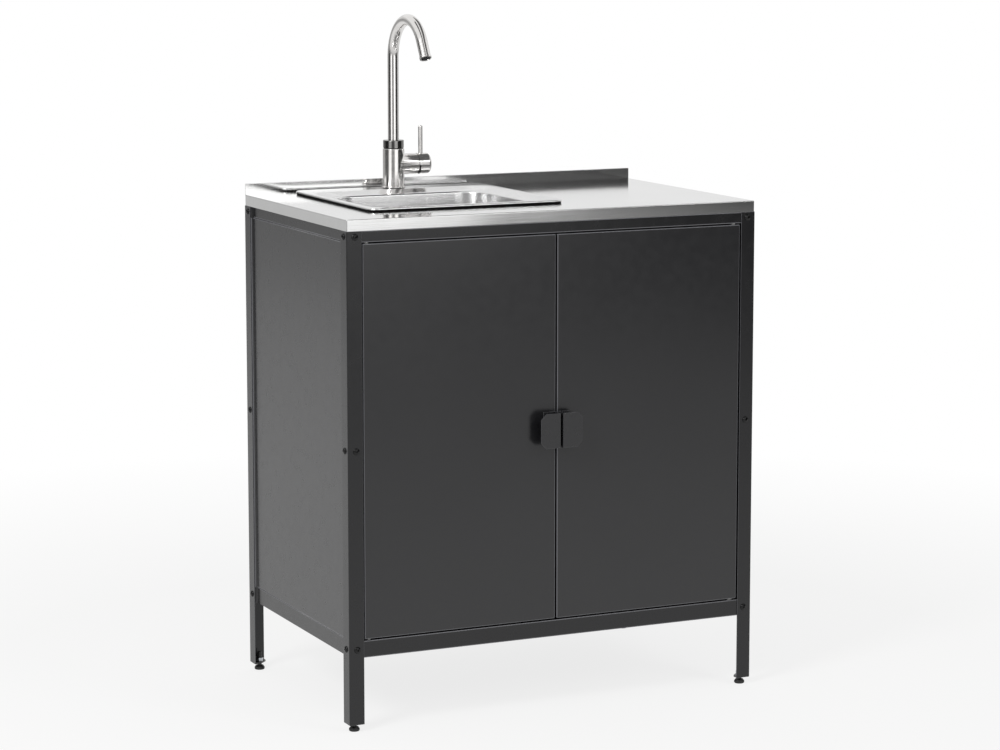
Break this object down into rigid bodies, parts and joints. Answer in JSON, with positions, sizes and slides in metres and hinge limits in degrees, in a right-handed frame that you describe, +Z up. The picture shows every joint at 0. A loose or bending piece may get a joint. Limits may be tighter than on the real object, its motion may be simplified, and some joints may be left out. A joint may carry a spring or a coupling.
{
  "type": "kitchen sink unit",
  "caption": "Free-standing steel kitchen sink unit: dark two-door cabinet on levelling feet, stainless worktop with upstand, inset bowl and swan-neck lever tap.",
  "frame": {"origin": "on the floor, under the middle of the whole unit, handles included; the cabinet's own middle lies 10 mm behind it", "axes": "+Z up, +X to the right seen from the front, +Y to the rear, so the doors face -Y"},
  "size_m": [0.8064, 0.5257, 1.2324],
  "materials": {
    "frame_paint": "satin dark grey powder coat",
    "panel_paint": "satin dark grey powder coat",
    "door_paint": "satin dark grey powder coat",
    "black_screw": "gloss black",
    "zinc_plate": "bright zinc plate",
    "worktop_steel": "satin stainless steel",
    "stainless": "satin stainless steel",
    "tap_steel": "brushed stainless steel, nearly bright",
    "tap_brass": "machined brass",
    "stem_steel": "machined steel",
    "black_rubber": "matt black rubber",
    "aerator_plastic": "dark grey plastic",
    "cartridge_plastic": "off-white plastic",
    "white_nylon": "white nylon",
    "catch_plastic": "black plastic",
    "trap_plastic": "white polypropylene",
    "foot_plastic": "black plastic on a zinc-plated stud"
  },
  "bodies": {
    "cabinet": {"front_left_post": "frame_paint", "front_right_post": "frame_paint", "rear_left_post": "frame_paint", "rear_right_post": "frame_paint", "front_top_rail": "frame_paint", "rear_top_rail": "frame_paint", "left_top_rail": "frame_paint", "right_top_rail": "frame_paint", "base_tray": "frame_paint", "left_side_panel": "panel_paint", "right_side_panel": "panel_paint", "back_panel": "panel_paint", "pipe_grommets": "black_rubber", "foot_plates": "frame_paint", "foot_nuts": "zinc_plate", "frame_screws": "black_screw", "frame_nuts": "zinc_plate", "pivot_bushes": "white_nylon", "catch_housing": "catch_plastic", "catch_magnets": "zinc_plate", "worktop": "worktop_steel", "worktop_stiffeners": "stainless", "worktop_screws": "zinc_plate", "sink_bowl": "stainless", "sink_rim_seal": "black_rubber", "sink_clips": "stainless", "clip_screws": "zinc_plate", "waste_flange": "stainless", "waste_gasket": "black_rubber", "waste_body": "trap_plastic", "trap_body": "trap_plastic", "trap_cup": "trap_plastic", "trap_outlet": "trap_plastic", "trap_nuts": "trap_plastic", "tap_seals": "black_rubber", "tap_body": "tap_steel", "tap_cartridge": "cartridge_plastic", "tap_shank": "tap_brass", "tap_washer": "stem_steel", "tap_nut": "tap_brass"},
    "left_door": {"left_door_panel": "door_paint", "left_handle": "door_paint", "left_handle_screws": "zinc_plate", "left_pivot_pins": "zinc_plate"},
    "right_door": {"right_door_panel": "door_paint", "right_handle": "door_paint", "right_handle_screws": "zinc_plate", "right_pivot_pins": "zinc_plate"},
    "strainer": {"waste_basket": "stainless"},
    "spout": {"spout_collar": "tap_steel", "spout_tube": "tap_steel", "aerator": "aerator_plastic"},
    "mixer_stem": {"mixer_stem": "stem_steel"},
    "lever": {"lever_cap": "tap_steel", "lever_rod": "tap_steel", "lever_pin": "stem_steel"},
    "front_left_foot": {"front_left_foot": "foot_plastic"},
    "front_right_foot": {"front_right_foot": "foot_plastic"},
    "rear_left_foot": {"rear_left_foot": "foot_plastic"},
    "rear_right_foot": {"rear_right_foot": "foot_plastic"}
  },
  "joints": [
    {"name": "left_door_hinge", "type": "hinge", "parent": "cabinet", "child": "left_door", "pos_m": [-0.36, -0.229, 0.511], "axis": [0, 0, -1], "range_deg": [0, 100]},
    {"name": "right_door_hinge", "type": "hinge", "parent": "cabinet", "child": "right_door", "pos_m": [0.36, -0.229, 0.511], "axis": [0, 0, 1], "range_deg": [0, 100]},
    {"name": "strainer_lift", "type": "slide", "parent": "cabinet", "child": "strainer", "axis": [0, 0, 1], "range_m": [0, 0.05]},
    {"name": "spout_swivel", "type": "hinge", "parent": "cabinet", "child": "spout", "pos_m": [-0.122, 0.208, 0.988], "axis": [0, 0, 1], "continuous": true},
    {"name": "lever_turn", "type": "hinge", "parent": "cabinet", "child": "mixer_stem", "pos_m": [-0.084, 0.208, 0.95], "axis": [1, 0, 0], "range_deg": [-45, 45]},
    {"name": "lever_tilt", "type": "hinge", "parent": "mixer_stem", "child": "lever", "pos_m": [-0.07, 0.208, 0.95], "axis": [0, 1, 0], "range_deg": [0, 14]},
    {"name": "front_left_foot_slide", "type": "slide", "parent": "cabinet", "child": "front_left_foot", "axis": [0, 0, -1], "range_m": [0, 0.012]},
    {"name": "front_right_foot_slide", "type": "slide", "parent": "cabinet", "child": "front_right_foot", "axis": [0, 0, -1], "range_m": [0, 0.012]},
    {"name": "rear_left_foot_slide", "type": "slide", "parent": "cabinet", "child": "rear_left_foot", "axis": [0, 0, -1], "range_m": [0, 0.012]},
    {"name": "rear_right_foot_slide", "type": "slide", "parent": "cabinet", "child": "rear_right_foot", "axis": [0, 0, -1], "range_m": [0, 0.012]}
  ]
}
